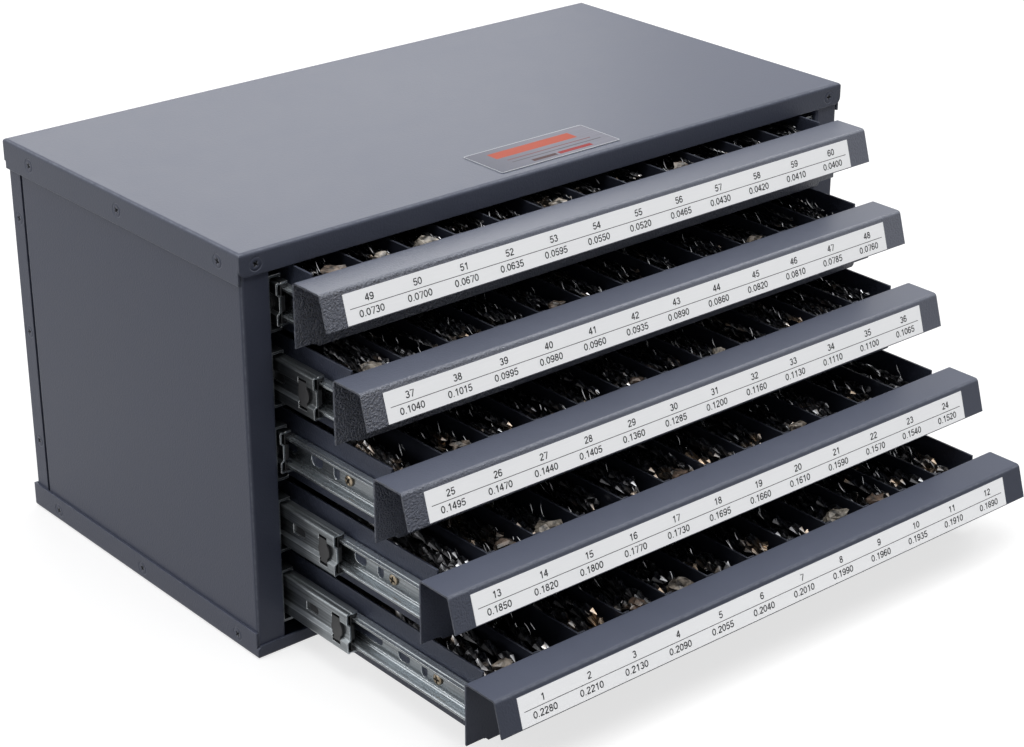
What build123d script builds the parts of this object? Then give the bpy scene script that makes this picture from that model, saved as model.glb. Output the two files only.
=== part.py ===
from build123d import *
from math import atan2, degrees, hypot, radians, sqrt, tan
import os

# Steel cabinet with five shallow drawers for sixty sizes of drill bit.
# Millimetres. X runs along the front, Y towards the back, Z up. The origin is
# the middle of the case's underside. The drawers open towards -Y and are
# modelled partly open, each by its own distance.

# ---------------------------------------------------------------- driving sizes
case_width = 400.0
case_depth = 215.0
case_height = 213.0
case_sheet = 1.2
bend_radius = 1.9

cover_side_flange = 16.0
cover_front_flange = 12.0
cover_corner_radius = 4.0
pan_side_flange = 14.0
pan_front_lip = 7.0
pan_corner_relief = 1.5

stile_width = 16.3
stile_return = 26.0
back_flange = 13.0
panel_gap = 2.2
upright_depth = 27.0

drawer_count = 5
drawer_gap = 4.0
drawer_top_clearance = 1.1
drawer_side_clearance = 1.5
drawer_sheet = 1.0
front_set_down = 0.5
front_bottom_rise = 1.2
front_tab_drop = 2.0
front_tab_inset = 11.7
front_tab_chamfer = 1.2
pull_depth = 20.6
pull_drop = 17.0
pull_lean = 5.1
pull_bend_radius = 1.7
tray_length = 198.0
tray_front_wall_drop = 3.5
compartment_count = 12
divider_sheet = 0.8
divider_set_down = 2.0
divider_foot = 4.5
divider_bend_radius = 1.2

# How far each drawer and each middle rail stands open, top drawer first.
drawer_open = (16.5, 45.4, 74.3, 106.8, 138.8)
carriage_open = (3.0, 29.8, 0.8, 41.5, 49.9)

slide_length = 200.0
slide_thickness = 12.7
slide_front_gap = 1.5
outer_sheet = 1.2
outer_depth = 7.4
outer_lip = 0.6
middle_height = 22.0
middle_sheet = 1.0
middle_setback = 2.6
middle_depth = 6.6
middle_web_height = 7.6
middle_web_recess = 1.6
middle_step_run = 1.4
inner_sheet = 1.2
inner_depth = 6.6
inner_root_radius = 1.0
inner_groove_height = 0.8
inner_groove_depth = 0.3
inner_groove_offset = 5.0
outer_edge_radius = 0.35
rail_edge_radius = 1.3
race_depth = 0.45
ball_diameter = 2.5
ball_clearance = 0.03
ball_count = 4
ball_spacing = 11.0
cage_sheet = 0.6
cage_width = 3.2
cage_hole_clearance = 0.08
cage_end = 5.0
cage_setback = 16.0

bumper_slot_length = 6.5
bumper_slot_height = 15.8
bumper_slot_setback = 5.5
bumper_fit = 0.1
bumper_bulge_radius = 4.4
bumper_bulge_reach = 1.6
bumper_length = 11.0
bumper_skin = 0.55
bumper_block_height = 1.6
bumper_block_depth = 3.4
bumper_cushion_height = 7.8
bumper_cushion_depth = 2.9
bumper_cushion_radius = 1.2
bumper_nose_gap = 1.5
bumper_nose_recess = 0.1
bumper_waist_radius = 1.1
bumper_waist_drop = 4.8
bumper_tail_length = 38.0
bumper_tail_height = 9.0

middle_window_length = 7.4
middle_window_height = 4.8
middle_window_setback = 31.0
middle_window_lift = 0.9
inner_screw_setback = 30.0
inner_oval_setback = 40.5
inner_oval_width = 4.6
inner_oval_height = 7.6
inner_window_setback = 56.0
inner_window_length = 9.2
inner_window_height = 6.2
inner_slot_setback = 72.5
inner_slot_length = 27.0
inner_slot_height = 5.0
inner_rear_screw_setback = 150.0

case_screw_radius = 1.75
case_screw_head_radius = 3.7
case_screw_length = 4.6
case_screw_recess_radius = 1.1
case_screw_recess_depth = 0.9
screw_fit = 0.06
flange_screw_drop = 8.4
pan_screw_height = 6.6
flange_screw_inset = 18.0
back_screw_inset = 8.0
back_screw_spacing = 64.3
front_screw_inset = 9.2
front_screw_drop = 6.6
rear_screw_spacing = 150.0

rail_screw_radius = 1.6
rail_screw_head_radius = 2.9
rail_screw_head_height = 1.4
rail_screw_inset = 12.0
rail_screw_recess_radius = 1.0
rail_screw_recess_depth = 0.7
mounting_screw_head_height = 0.9

label_length = 335.5
label_thickness = 0.25
label_top_margin = 1.9
label_bottom_margin = 0.5
label_shift = -1.4

name_plate_length = 79.4
name_plate_width = 31.2
name_plate_thickness = 0.4
name_plate_corner = 1.5
name_plate_shift = 1.3
name_plate_setback = 6.5

bit_large = 5.8
bit_small = 1.0
bit_long = 98.0
bit_short = 41.0
bit_gap = 0.1
bit_row_count = 4
bit_front_gap = 4.0
bit_point_angle = 118.0

# -------------------------------------------------------------- worked-out places
front_y = -case_depth / 2
back_y = case_depth / 2
flange_face_x = case_width / 2 - case_sheet
stile_front_y = front_y + case_sheet
stile_inner_x = flange_face_x - stile_width
panel_rear_y = back_y - back_flange - panel_gap
sheet_bottom_z = case_sheet
sheet_top_z = case_height - case_sheet
inner_height = sheet_top_z - sheet_bottom_z
back_sheet_y = back_y - 2 * case_sheet
upright_front_y = back_sheet_y - upright_depth

opening_top_z = case_height - cover_front_flange
drawer_pitch = (opening_top_z - pan_front_lip) / drawer_count
tray_height = drawer_pitch - drawer_gap
front_width = 2 * (stile_inner_x - drawer_side_clearance)
tray_width = 2 * (stile_inner_x - slide_thickness)
closed_plate_y = stile_front_y + drawer_sheet
rail_front_y = closed_plate_y + slide_front_gap
compartment_pitch = label_length / compartment_count
compartment_total = drawer_count * compartment_count

ball_room = ball_diameter + 2 * ball_clearance
race_radius = ball_room / 2
outer_ball_offset = middle_height / 2 + race_radius - race_depth
inner_ball_offset = middle_height / 2 - middle_sheet - race_radius
outer_height = 2 * (outer_ball_offset + race_radius + outer_sheet)
inner_height_rail = 2 * (inner_ball_offset - race_radius + race_depth)
middle_web_setback = middle_setback + middle_web_recess
middle_inside = middle_height - 2 * middle_sheet
outer_ball_setback = (middle_setback + outer_depth) / 2
inner_tip_setback = slide_thickness - inner_depth
inner_ball_setback = (inner_tip_setback + middle_setback + middle_depth) / 2
cage_length = (ball_count - 1) * ball_spacing + 2 * cage_end

head_sink_angle = 2 * degrees(atan2(case_screw_head_radius - case_screw_radius, case_sheet))
lip_length = hypot(pull_lean, pull_drop)

left_and_right = (-1, 1)


def tray_top(index):
    return opening_top_z - drawer_top_clearance - index * drawer_pitch


def tray_bottom(index):
    return tray_top(index) - tray_height


def rail_middle(index):
    return tray_top(index) - tray_height / 2


def plate_back(index):
    return closed_plate_y - drawer_open[index]


def across(y, z):
    # Sketch plane that faces the front: local x is X and local y is Z.
    return Plane(origin=(0, y, z), x_dir=(1, 0, 0), z_dir=(0, -1, 0))


def sideways(x, y, z):
    # Sketch plane that faces +X: local x is Y and local y is Z.
    return Plane(origin=(x, y, z), x_dir=(0, 1, 0), z_dir=(1, 0, 0))


def outward(x, y, z, side):
    # Plane on a left or right face, its normal pointing away from the case.
    return Plane(origin=(x, y, z), x_dir=(0, 1, 0), z_dir=(side, 0, 0))


def save(part, name):
    part.label = name
    export_step(part, f"parts/{name}.step")


# ------------------------------------------------------------------ screw places
flange_screw_ys = (
    front_y + flange_screw_inset,
    (front_y + back_y) / 2 - panel_gap,
    panel_rear_y - back_screw_inset - panel_gap,
)
back_screw_zs = tuple(case_height / 2 + step * back_screw_spacing for step in (-1, 0, 1))
rear_screw_xs = tuple(step * rear_screw_spacing for step in (-1, 0, 1))
flange_screw_z = case_height - flange_screw_drop
front_screw_x = case_width / 2 - front_screw_inset
back_screw_y = back_y - back_screw_inset
rear_screw_z = case_height - cover_front_flange / 2


def cover_side_screws(side):
    return [outward(side * case_width / 2, y, flange_screw_z, side) for y in flange_screw_ys]


def pan_side_screws(side):
    return [outward(side * case_width / 2, y, pan_screw_height, side) for y in flange_screw_ys]


def back_side_screws(side):
    return [outward(side * flange_face_x, back_screw_y, z, side) for z in back_screw_zs]


front_screws = [
    across(front_y, case_height - front_screw_drop) * Pos(side * front_screw_x, 0, 0)
    for side in left_and_right
]
rear_screws = [
    Plane(origin=(x, back_y, z), x_dir=(-1, 0, 0), z_dir=(0, 1, 0))
    for x in rear_screw_xs
    for z in (rear_screw_z, pan_screw_height)
]
cover_rear_screws = rear_screws[0::2]
pan_rear_screws = rear_screws[1::2]


def sink_holes(places):
    with Locations(*places):
        CounterSinkHole(
            radius=case_screw_radius + screw_fit,
            counter_sink_radius=case_screw_head_radius + screw_fit,
            depth=case_screw_length,
            counter_sink_angle=head_sink_angle,
        )


def shank_holes(places):
    with Locations(*places):
        Cylinder(
            radius=case_screw_radius + screw_fit,
            height=2 * case_screw_length,
            mode=Mode.SUBTRACT,
        )


# -------------------------------------------------------------------------- case
def make_top_cover():
    # Folded pan: top sheet, deep side and rear flanges and a shorter front
    # flange with rounded lower corners that laps over the ends of the sides.
    with BuildPart() as cover:
        with BuildSketch(Plane.XY.offset(case_height - cover_side_flange)):
            Rectangle(case_width, case_depth)
        extrude(amount=cover_side_flange)
        fillet(cover.faces().sort_by(Axis.Z)[-1].edges(), radius=bend_radius)
        with BuildSketch(Plane.XY.offset(case_height - cover_side_flange)):
            Rectangle(case_width - 2 * case_sheet, case_depth - 2 * case_sheet)
        extrude(amount=cover_side_flange - case_sheet, mode=Mode.SUBTRACT)
        with BuildSketch(across(front_y, case_height - cover_side_flange)):
            cut_height = cover_side_flange - cover_front_flange + cover_corner_radius
            Rectangle(case_width, cut_height, align=(Align.CENTER, Align.MIN))
            with Locations((0, cover_side_flange - cover_front_flange)):
                RectangleRounded(
                    case_width,
                    case_height,
                    cover_corner_radius,
                    align=(Align.CENTER, Align.MIN),
                    mode=Mode.SUBTRACT,
                )
        extrude(amount=-case_sheet, mode=Mode.SUBTRACT)
        with BuildSketch(across(back_y, case_height - cover_side_flange)):
            Rectangle(
                case_width,
                cover_side_flange - cover_front_flange,
                align=(Align.CENTER, Align.MIN),
            )
        extrude(amount=case_sheet, mode=Mode.SUBTRACT)
        for side in left_and_right:
            sink_holes(cover_side_screws(side))
        sink_holes(front_screws)
        sink_holes(cover_rear_screws)
    save(cover.part, "top_cover")


def make_bottom_pan():
    # Folded pan that the cabinet stands on, with side and rear flanges and a
    # low front lip that is relieved at its two corners.
    with BuildPart() as pan:
        with BuildSketch(Plane.XY):
            Rectangle(case_width, case_depth)
        extrude(amount=pan_side_flange)
        fillet(pan.faces().sort_by(Axis.Z)[0].edges(), radius=bend_radius)
        with BuildSketch(Plane.XY.offset(case_sheet)):
            Rectangle(case_width - 2 * case_sheet, case_depth - 2 * case_sheet)
        extrude(amount=pan_side_flange - case_sheet, mode=Mode.SUBTRACT)
        with BuildSketch(across(front_y, pan_front_lip)):
            Rectangle(case_width, pan_side_flange - pan_front_lip, align=(Align.CENTER, Align.MIN))
            for side in left_and_right:
                with Locations((side * case_width / 2, 0)):
                    Circle(pan_corner_relief)
        extrude(amount=-case_sheet, mode=Mode.SUBTRACT)
        for side in left_and_right:
            sink_holes(pan_side_screws(side))
        sink_holes(pan_rear_screws)
    save(pan.part, "bottom_pan")


def make_side_panel(side, name):
    # One sheet: the wall, the front stile and the stile's return flange, which
    # the front ends of the slides are screwed to.
    wall_length = panel_rear_y - stile_front_y
    with BuildPart() as panel:
        with BuildSketch(Plane.XY.offset(sheet_bottom_z)) as outline:
            with Locations((side * flange_face_x, stile_front_y)):
                away = Align.MIN if side < 0 else Align.MAX
                Rectangle(case_sheet, wall_length, align=(away, Align.MIN))
                Rectangle(stile_width, case_sheet, align=(away, Align.MIN))
            with Locations((side * stile_inner_x, stile_front_y)):
                back_in = Align.MAX if side < 0 else Align.MIN
                Rectangle(case_sheet, stile_return, align=(back_in, Align.MIN))
            front_corners = outline.vertices().group_by(Axis.Y)[0]
            fillet(front_corners, radius=bend_radius)
        extrude(amount=inner_height)
        shank_holes(cover_side_screws(side) + pan_side_screws(side))
        shank_holes(front_screws)
        rail_screw_holes(side, rail_front_y + rail_screw_inset)
    save(panel.part, name)


def make_back_panel():
    # Back sheet with a flange down each side, lapped by the cover and the pan.
    with BuildPart() as panel:
        with BuildSketch(Plane.XY.offset(sheet_bottom_z)) as outline:
            with Locations((0, back_sheet_y)):
                Rectangle(2 * flange_face_x, case_sheet, align=(Align.CENTER, Align.MIN))
            for side in left_and_right:
                away = Align.MIN if side < 0 else Align.MAX
                with Locations((side * flange_face_x, back_y - back_flange)):
                    Rectangle(case_sheet, back_flange - case_sheet, align=(away, Align.MIN))
            rear_corners = outline.vertices().group_by(Axis.Y)[-1]
            fillet(rear_corners, radius=bend_radius)
        extrude(amount=inner_height)
        for side in left_and_right:
            sink_holes(back_side_screws(side))
        shank_holes(rear_screws)
    save(panel.part, "back_panel")


def make_rear_uprights():
    # A channel inside each rear corner: its outer leg backs the side panel and
    # the back panel's flange, its inner leg carries the slides' rear ends.
    channel_width = stile_width - case_sheet
    with BuildPart() as uprights:
        with BuildSketch(Plane.XY.offset(sheet_bottom_z)):
            with Locations((-flange_face_x + case_sheet, upright_front_y)):
                Rectangle(channel_width, upright_depth, align=(Align.MIN, Align.MIN))
            with Locations((-flange_face_x + 2 * case_sheet, upright_front_y + case_sheet)):
                Rectangle(
                    channel_width - 2 * case_sheet,
                    upright_depth,
                    align=(Align.MIN, Align.MIN),
                    mode=Mode.SUBTRACT,
                )
        extrude(amount=inner_height)
        shank_holes(back_side_screws(-1))
        shank_holes(cover_side_screws(-1)[-1:] + pan_side_screws(-1)[-1:])
        rail_screw_holes(-1, rail_front_y + slide_length - rail_screw_inset)
        mirror(about=Plane.YZ)
    save(uprights.part, "rear_uprights")


def make_case_screws():
    # Countersunk screws, flush with the flanges that they hold.
    places = front_screws + rear_screws
    for side in left_and_right:
        places = places + cover_side_screws(side) + pan_side_screws(side)
        places = places + back_side_screws(side)
    with BuildPart() as screws:
        with Locations(*places):
            Cone(
                bottom_radius=case_screw_radius,
                top_radius=case_screw_head_radius,
                height=case_sheet,
                align=(Align.CENTER, Align.CENTER, Align.MAX),
            )
            Cylinder(
                radius=case_screw_radius,
                height=case_screw_length,
                align=(Align.CENTER, Align.CENTER, Align.MAX),
            )
            Cylinder(
                radius=case_screw_recess_radius,
                height=case_screw_recess_depth,
                align=(Align.CENTER, Align.CENTER, Align.MAX),
                mode=Mode.SUBTRACT,
            )
    save(screws.part, "case_screws")


def make_name_plate():
    # Small plate stuck to the top, near the front edge.
    with BuildPart() as plate:
        with BuildSketch(Plane.XY.offset(case_height)):
            with Locations((name_plate_shift, front_y + name_plate_setback)):
                RectangleRounded(
                    name_plate_length,
                    name_plate_width,
                    name_plate_corner,
                    align=(Align.CENTER, Align.MIN),
                )
        extrude(amount=name_plate_thickness)
    save(plate.part, "name_plate")


# ------------------------------------------------------------------------ slides
def rail_places(index, setback):
    # Point of the left slide: setback is counted from its mounting plane.
    return (-stile_inner_x + setback, rail_middle(index))


def rail_screw_holes(side, y):
    with Locations(*[sideways(side * stile_inner_x, y, rail_middle(i)) for i in range(drawer_count)]):
        Cylinder(
            radius=rail_screw_radius + screw_fit,
            height=2 * slide_thickness,
            mode=Mode.SUBTRACT,
        )


def web_cut(setback, y, z, length, height, depth):
    # Round-ended opening through a rail's web, long side along Y or Z.
    x = -stile_inner_x + setback
    with BuildSketch(sideways(x, y, z)) as opening:
        if length > height:
            SlotOverall(length, height)
        else:
            SlotOverall(height, length, rotation=90)
    extrude(opening.sketch, amount=depth, both=True, mode=Mode.SUBTRACT)


def make_outer_rails():
    # Outer member of every slide, screwed to the stile's return flange in front
    # and to the rear upright behind. The flanges' lips hold the balls.
    with BuildPart() as rails:
        for index in range(drawer_count):
            x, z = rail_places(index, 0)
            with BuildSketch(across(rail_front_y, z)) as section:
                with Locations((x, 0)):
                    Rectangle(outer_depth, outer_height, align=(Align.MIN, Align.CENTER))
                with Locations((x + outer_sheet, 0)):
                    Rectangle(
                        outer_depth,
                        outer_height - 2 * outer_sheet - 2 * outer_lip,
                        align=(Align.MIN, Align.CENTER),
                        mode=Mode.SUBTRACT,
                    )
                    Rectangle(
                        outer_depth - outer_sheet - outer_lip,
                        outer_height - 2 * outer_sheet,
                        align=(Align.MIN, Align.CENTER),
                        mode=Mode.SUBTRACT,
                    )
                fillet(section.vertices().group_by(Axis.X)[0], radius=outer_edge_radius)
            extrude(amount=-slide_length)
        for y in (rail_front_y + rail_screw_inset, rail_front_y + slide_length - rail_screw_inset):
            rail_screw_holes(-1, y)
        mirror(about=Plane.YZ)
    save(rails.part, "outer_rails")


def make_rail_mounting_screws():
    # Flat-headed screws through the outer rails' webs.
    setback = outer_sheet
    places = [
        sideways(-stile_inner_x + setback, y, rail_middle(index))
        for index in range(drawer_count)
        for y in (rail_front_y + rail_screw_inset, rail_front_y + slide_length - rail_screw_inset)
    ]
    with BuildPart() as screws:
        with Locations(*places):
            Cylinder(
                radius=rail_screw_head_radius,
                height=mounting_screw_head_height,
                align=(Align.CENTER, Align.CENTER, Align.MIN),
            )
            Cylinder(
                radius=rail_screw_radius,
                height=outer_sheet + 2 * case_sheet,
                align=(Align.CENTER, Align.CENTER, Align.MAX),
            )
        mirror(about=Plane.YZ)
    save(screws.part, "rail_mounting_screws")


def race_places(index, setback, offset):
    # Where a row of balls runs above and another below a rail's middle.
    x = rail_places(index, setback)[0]
    return [(x, side * offset) for side in left_and_right]


def bumper_slot(y, z, x, bulge_radius, length, height):
    # Upright slot that bulges forwards where the web is sunk.
    bulge_y = bumper_bulge_radius - bumper_bulge_reach - bumper_slot_length / 2
    with BuildSketch(sideways(x, y + bumper_slot_setback + bumper_slot_length / 2, z)) as opening:
        Rectangle(length, height)
        with Locations((bulge_y, 0)):
            Circle(bulge_radius)
    return opening.sketch


def make_middle_rails(index):
    # Middle member: a channel whose web is sunk between two sloping steps, with
    # a race along both edges, a punched window and the bumper's slot in front.
    y = rail_front_y - carriage_open[index]
    x, z = rail_places(index, middle_setback)
    web_x = rail_places(index, middle_web_setback)[0]
    flat = middle_web_height / 2
    wide = flat + middle_step_run
    lean = middle_step_run * middle_sheet / middle_web_recess
    with BuildPart() as rails:
        with BuildSketch(across(y, z)) as section:
            with Locations((x, 0)):
                Rectangle(middle_depth, middle_height, align=(Align.MIN, Align.CENTER))
            fillet(section.vertices().group_by(Axis.X)[0], radius=rail_edge_radius)
            with Locations((x + middle_sheet, 0)):
                Rectangle(
                    middle_depth,
                    middle_inside,
                    align=(Align.MIN, Align.CENTER),
                    mode=Mode.SUBTRACT,
                )
            with Locations((x, 0)):
                Polygon(
                    (0, wide + middle_sheet),
                    (middle_web_recess + middle_sheet, flat + middle_sheet - lean),
                    (middle_web_recess + middle_sheet, lean - flat - middle_sheet),
                    (0, -wide - middle_sheet),
                    align=None,
                )
                Polygon(
                    (0, wide),
                    (middle_web_recess, flat),
                    (middle_web_recess, -flat),
                    (0, -wide),
                    align=None,
                    mode=Mode.SUBTRACT,
                )
            with Locations(*race_places(index, outer_ball_setback, outer_ball_offset)):
                Circle(race_radius, mode=Mode.SUBTRACT)
        extrude(amount=-slide_length)
        with BuildSketch(sideways(web_x, y + middle_window_setback, z + middle_window_lift)):
            Rectangle(middle_window_length, middle_window_height)
            with Locations((-middle_window_length / 2, 0)):
                Circle(middle_window_height / 2)
        extrude(amount=middle_depth / 2, both=True, mode=Mode.SUBTRACT)
        slot = bumper_slot(
            y, z, web_x, bumper_bulge_radius, bumper_slot_length, bumper_slot_height
        )
        extrude(slot, amount=middle_depth / 2, both=True, mode=Mode.SUBTRACT)
        mirror(about=Plane.YZ)
    save(rails.part, f"middle_rails_{index + 1}")


def make_rail_bumpers(index):
    # Black plastic stop at the front of the middle rail: a thin skin and tail
    # inside the channel, blocks above and below the inner rail, a cushion between
    # the inner rail's flanges, and a nose that fills the slot in the web.
    y = rail_front_y - carriage_open[index]
    z = rail_middle(index)
    skin_x = rail_places(index, middle_web_setback + middle_sheet)[0]
    nose_x = rail_places(index, middle_setback + bumper_nose_recess)[0]
    inside = middle_inside - 2 * bumper_fit
    with BuildPart() as bumpers:
        with BuildSketch(across(y + bumper_fit, z)):
            with Locations((skin_x, 0)):
                Rectangle(bumper_skin, inside, align=(Align.MIN, Align.CENTER))
            for side in left_and_right:
                edge = Align.MAX if side > 0 else Align.MIN
                with Locations((skin_x, side * inside / 2)):
                    Rectangle(
                        bumper_skin + bumper_block_depth,
                        bumper_block_height,
                        align=(Align.MIN, edge),
                    )
        extrude(amount=-bumper_length)
        with BuildSketch(across(y + bumper_fit, z)):
            with Locations((skin_x, 0)):
                Rectangle(bumper_skin, bumper_tail_height, align=(Align.MIN, Align.CENTER))
        extrude(amount=-bumper_tail_length)
        with BuildSketch(Plane.XY.offset(z - bumper_cushion_height / 2)) as cushion:
            with Locations((skin_x, y + bumper_fit)):
                Rectangle(bumper_cushion_depth, bumper_length, align=(Align.MIN, Align.MIN))
            fillet(cushion.vertices().group_by(Axis.Y)[0], radius=bumper_cushion_radius)
        extrude(amount=bumper_cushion_height)
        nose = bumper_slot(
            y,
            z,
            nose_x,
            bumper_bulge_radius - bumper_fit,
            bumper_slot_length - 2 * bumper_fit,
            bumper_slot_height - 2 * bumper_nose_gap,
        )
        extrude(nose, amount=skin_x - nose_x)
        waist_y = y + bumper_slot_setback + bumper_slot_length
        with BuildSketch(sideways(nose_x, waist_y, z - bumper_waist_drop)):
            Circle(bumper_waist_radius)
        extrude(amount=skin_x - nose_x, mode=Mode.SUBTRACT)
        mirror(about=Plane.YZ)
    save(bumpers.part, f"rail_bumpers_{index + 1}")


def make_ball_cages(index):
    # Steel strips with balls: between the outer and middle rails at the middle
    # rail's rear end, and between the middle and inner rails at its front end.
    y = rail_front_y - carriage_open[index]
    rear_start = y + slide_length - cage_setback - cage_length
    front_start = y + cage_setback
    rows = (
        (outer_ball_setback, outer_ball_offset, rear_start),
        (inner_ball_setback, inner_ball_offset, front_start),
    )
    strips = []
    balls = []
    for setback, offset, start in rows:
        for side in left_and_right:
            x, z = rail_places(index, setback)
            strips.append((x, start + cage_length / 2, z + side * offset))
            for step in range(ball_count):
                balls.append((x, start + cage_end + step * ball_spacing, z + side * offset))
    with BuildPart() as cages:
        with Locations(*strips):
            Box(cage_width, cage_length, cage_sheet)
        with Locations(*balls):
            Cylinder(
                radius=ball_diameter / 2 + cage_hole_clearance,
                height=2 * cage_sheet,
                mode=Mode.SUBTRACT,
            )
            Sphere(radius=ball_diameter / 2)
        mirror(about=Plane.YZ)
    save(cages.part, f"ball_cages_{index + 1}")


def make_inner_rails(index):
    # Inner member, screwed to the tray's side and running inside the balls: its
    # flanges dip into a race for them, and two fine grooves run along its web.
    y = rail_front_y - drawer_open[index]
    x, z = rail_places(index, slide_thickness)
    with BuildPart() as rails:
        with BuildSketch(across(y, z)) as section:
            with Locations((x, 0)):
                Rectangle(inner_depth, inner_height_rail, align=(Align.MAX, Align.CENTER))
            with Locations((x - inner_sheet - inner_depth, 0)):
                RectangleRounded(
                    2 * inner_depth,
                    inner_height_rail - 2 * inner_sheet,
                    inner_root_radius,
                    mode=Mode.SUBTRACT,
                )
            races = race_places(index, inner_ball_setback, inner_ball_offset)
            with Locations(*races):
                Circle(race_radius + inner_sheet)
            with Locations((x, 0)):
                Rectangle(
                    inner_depth,
                    inner_height_rail,
                    align=(Align.MAX, Align.CENTER),
                    mode=Mode.INTERSECT,
                )
            with Locations(*races):
                Circle(race_radius, mode=Mode.SUBTRACT)
            fillet(section.vertices().group_by(Axis.X)[-1], radius=rail_edge_radius)
            for side in left_and_right:
                with Locations((x - inner_sheet, side * inner_groove_offset)):
                    Rectangle(
                        2 * inner_groove_depth,
                        inner_groove_height,
                        mode=Mode.SUBTRACT,
                    )
        extrude(amount=-slide_length)
        web = slide_thickness - inner_sheet / 2
        web_cut(web, y + inner_oval_setback, z, inner_oval_width, inner_oval_height, inner_sheet)
        web_cut(
            web,
            y + inner_window_setback,
            z,
            inner_window_length,
            inner_window_height,
            inner_sheet,
        )
        web_cut(
            web,
            y + inner_slot_setback + inner_slot_length / 2,
            z,
            inner_slot_length,
            inner_slot_height,
            inner_sheet,
        )
        drawer_screw_holes(index)
        mirror(about=Plane.YZ)
    save(rails.part, f"inner_rails_{index + 1}")


def drawer_screw_places(index):
    y = rail_front_y - drawer_open[index]
    x, z = rail_places(index, slide_thickness - inner_sheet)
    return [
        outward(x, y + setback, z, -1)
        for setback in (inner_screw_setback, inner_rear_screw_setback)
    ]


def drawer_screw_holes(index):
    with Locations(*drawer_screw_places(index)):
        Cylinder(
            radius=rail_screw_radius + screw_fit,
            height=2 * (inner_sheet + drawer_sheet),
            mode=Mode.SUBTRACT,
        )


def make_drawer_screws(index):
    # Pan-head screws that hold the inner rails to the tray.
    with BuildPart() as screws:
        with Locations(*drawer_screw_places(index)):
            Cylinder(
                radius=rail_screw_head_radius,
                height=rail_screw_head_height,
                align=(Align.CENTER, Align.CENTER, Align.MIN),
            )
            Cylinder(
                radius=rail_screw_radius,
                height=inner_sheet + drawer_sheet,
                align=(Align.CENTER, Align.CENTER, Align.MAX),
            )
        for place in drawer_screw_places(index):
            with BuildSketch(place.offset(rail_screw_head_height)):
                Rectangle(2 * rail_screw_recess_radius, rail_screw_recess_radius / 2)
                Rectangle(rail_screw_recess_radius / 2, 2 * rail_screw_recess_radius)
            extrude(amount=-rail_screw_recess_depth, mode=Mode.SUBTRACT)
        mirror(about=Plane.YZ)
    save(screws.part, f"drawer_screws_{index + 1}")


# ----------------------------------------------------------------------- drawers
def make_drawer_front(index):
    # One folded sheet, open at both ends: the plate that closes the opening, the
    # flat top and the lip, which leans out as a finger pull. The plate's lower
    # edge steps down across the tray's width.
    half = drawer_sheet / 2
    back = plate_back(index)
    top = tray_top(index) - front_set_down
    bottom = tray_bottom(index) + front_bottom_rise
    edge = front_width / 2
    with BuildPart() as front:
        with BuildSketch(sideways(-edge, 0, 0)):
            with BuildLine():
                FilletPolyline(
                    (back - half, bottom),
                    (back - half, top - half),
                    (back - pull_depth, top - half),
                    (back - pull_depth - pull_lean, top - half - pull_drop),
                    radius=pull_bend_radius,
                )
            trace(line_width=drawer_sheet)
        extrude(amount=front_width)
        with BuildSketch(across(back - drawer_sheet, bottom)) as tab:
            Rectangle(
                front_width - 2 * front_tab_inset,
                2 * front_tab_drop,
            )
            chamfer(tab.vertices().group_by(Axis.Z)[0], length=front_tab_chamfer)
        extrude(amount=-drawer_sheet)
    save(front.part, f"drawer_front_{index + 1}")


def make_label_strip(index):
    # Printed strip on the outer face of the lip.
    half = drawer_sheet / 2
    bend = Vector(0, plate_back(index) - pull_depth, tray_top(index) - front_set_down - half)
    down = Vector(0, -pull_lean, -pull_drop) / lip_length
    out = Vector(0, -pull_drop, pull_lean) / lip_length
    strip_height = lip_length - label_top_margin - label_bottom_margin - half
    start = bend + down * (label_top_margin + half) + out * half
    face = Plane(origin=start + Vector(label_shift, 0, 0), x_dir=(1, 0, 0), z_dir=out)
    with BuildPart() as strip:
        with BuildSketch(face):
            Rectangle(label_length, strip_height, align=(Align.CENTER, Align.MAX))
        extrude(amount=label_thickness)
    save(strip.part, f"label_strip_{index + 1}")


def make_drawer_tray(index):
    # Shallow tray welded to the back of the front plate, with its front wall
    # lower than its sides.
    y = plate_back(index)
    with BuildPart() as tray:
        with BuildSketch(Plane.XY.offset(tray_bottom(index))):
            with Locations((0, y)):
                Rectangle(tray_width, tray_length, align=(Align.CENTER, Align.MIN))
        extrude(amount=tray_height)
        with BuildSketch(Plane.XY.offset(tray_bottom(index) + drawer_sheet)):
            with Locations((0, y + drawer_sheet)):
                Rectangle(
                    tray_width - 2 * drawer_sheet,
                    tray_length - 2 * drawer_sheet,
                    align=(Align.CENTER, Align.MIN),
                )
        extrude(amount=tray_height, mode=Mode.SUBTRACT)
        with BuildSketch(Plane.XY.offset(tray_top(index))):
            with Locations((0, y)):
                Rectangle(tray_width, drawer_sheet, align=(Align.CENTER, Align.MIN))
        extrude(amount=-tray_front_wall_drop, mode=Mode.SUBTRACT)
        drawer_screw_holes(index)
        with Locations(*[mirrored(place) for place in drawer_screw_places(index)]):
            Cylinder(
                radius=rail_screw_radius + screw_fit,
                height=2 * (inner_sheet + drawer_sheet),
                mode=Mode.SUBTRACT,
            )
    save(tray.part, f"drawer_tray_{index + 1}")


def mirrored(place):
    return outward(-place.origin.X, place.origin.Y, place.origin.Z, 1)


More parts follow.
